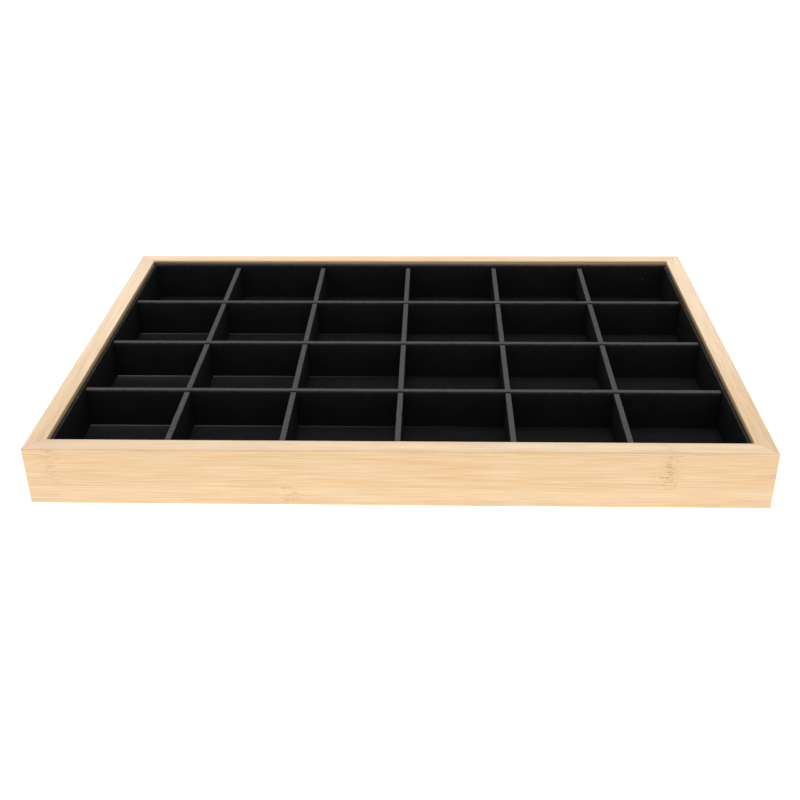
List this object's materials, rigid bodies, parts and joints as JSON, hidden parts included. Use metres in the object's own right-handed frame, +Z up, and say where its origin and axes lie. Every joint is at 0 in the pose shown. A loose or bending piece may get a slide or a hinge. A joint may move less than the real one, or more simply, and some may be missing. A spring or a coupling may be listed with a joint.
{
  "type": "compartment tray",
  "caption": "Shallow bamboo tray with a black velvet liner and a lift-out grid of crossing dividers that makes near-square compartments.",
  "frame": {"origin": "middle of the underside", "axes": "+X to the right along the long side, +Y to the back, +Z up"},
  "size_m": [0.35, 0.2434, 0.03],
  "materials": {
    "bamboo": "sanded, thin matt lacquer",
    "plywood": "unfinished sheet",
    "nail_steel": "plain",
    "greyboard": "raw grey board",
    "black_velvet": "short pile velvet, matt"
  },
  "bodies": {
    "frame": {"front_rail": "bamboo", "right_rail": "bamboo", "back_rail": "bamboo", "left_rail": "bamboo", "bottom_board": "plywood", "corner_v_nails": "nail_steel"},
    "liner": {"liner_floor_board": "greyboard", "liner_floor_velvet": "black_velvet", "liner_front_board": "greyboard", "liner_front_velvet": "black_velvet", "liner_back_board": "greyboard", "liner_back_velvet": "black_velvet", "liner_left_board": "greyboard", "liner_left_velvet": "black_velvet", "liner_right_board": "greyboard", "liner_right_velvet": "black_velvet"},
    "grid": {"column_divider_1_board": "greyboard", "column_divider_1_velvet": "black_velvet", "column_divider_2_board": "greyboard", "column_divider_2_velvet": "black_velvet", "column_divider_3_board": "greyboard", "column_divider_3_velvet": "black_velvet", "column_divider_4_board": "greyboard", "column_divider_4_velvet": "black_velvet", "column_divider_5_board": "greyboard", "column_divider_5_velvet": "black_velvet"},
    "row_1": {"row_divider_1_board": "greyboard", "row_divider_1_velvet": "black_velvet"},
    "row_2": {"row_divider_2_board": "greyboard", "row_divider_2_velvet": "black_velvet"},
    "row_3": {"row_divider_3_board": "greyboard", "row_divider_3_velvet": "black_velvet"}
  },
  "joints": [
    {"name": "liner_lift", "type": "slide", "parent": "frame", "child": "liner", "axis": [0, 0, 1], "range_m": [0, 0.04]},
    {"name": "grid_lift", "type": "slide", "parent": "liner", "child": "grid", "axis": [0, 0, 1], "range_m": [0, 0.03]},
    {"name": "row_lift_1", "type": "slide", "parent": "grid", "child": "row_1", "axis": [0, 0, 1], "range_m": [0, 0.025]},
    {"name": "row_lift_2", "type": "slide", "parent": "grid", "child": "row_2", "axis": [0, 0, 1], "range_m": [0, 0.025]},
    {"name": "row_lift_3", "type": "slide", "parent": "grid", "child": "row_3", "axis": [0, 0, 1], "range_m": [0, 0.025]}
  ]
}
